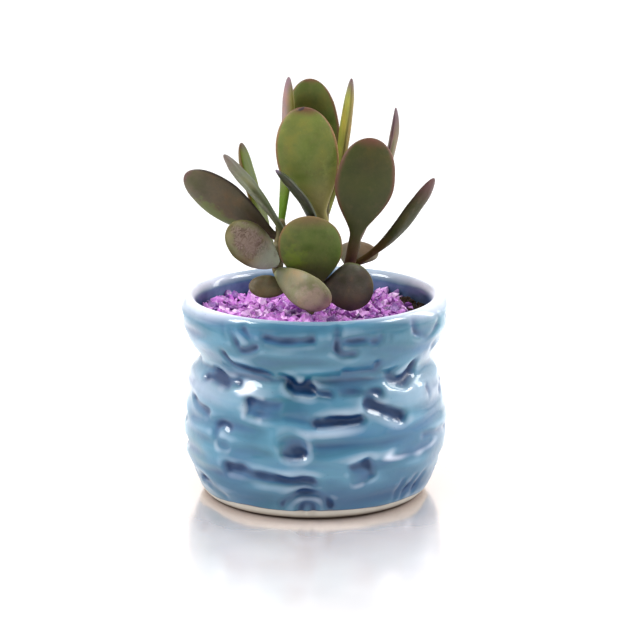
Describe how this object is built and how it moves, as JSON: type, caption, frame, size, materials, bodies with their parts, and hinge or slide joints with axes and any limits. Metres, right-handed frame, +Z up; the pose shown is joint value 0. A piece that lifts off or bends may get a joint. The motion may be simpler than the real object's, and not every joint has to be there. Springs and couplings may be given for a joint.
{
  "type": "potted jade plant",
  "caption": "Small jade plant with fleshy paddle-shaped leaves, in a waisted ceramic pot with pressed tool marks and a dressing of dyed gravel.",
  "frame": {"origin": "middle of the pot's foot, on the surface that it stands on", "axes": "+Z up, along the pot's axis; -Y towards the front, which is the side with the round leaf"},
  "size_m": [0.0904, 0.0906, 0.1434],
  "materials": {
    "glaze": "glossy",
    "compost": "matte",
    "gravel": "satin",
    "bark": "matte",
    "leaf": "satin"
  },
  "bodies": {
    "root": {"pot": "glaze", "potting_soil": "compost", "gravel": "gravel", "stem": "bark", "leaf_left_long": "leaf", "leaf_left_upper": "leaf", "leaf_left_back": "leaf", "leaf_left_tall": "leaf", "leaf_left_scarred": "leaf", "leaf_left_low": "leaf", "leaf_front_low": "leaf", "leaf_centre_front": "leaf", "leaf_centre_back": "leaf", "leaf_centre_right": "leaf", "leaf_centre_dark": "leaf", "leaf_front_round": "leaf", "leaf_right_oval": "leaf", "leaf_right_back": "leaf", "leaf_right_long": "leaf", "leaf_right_low": "leaf", "leaf_right_hidden": "leaf"}
  },
  "joints": []
}
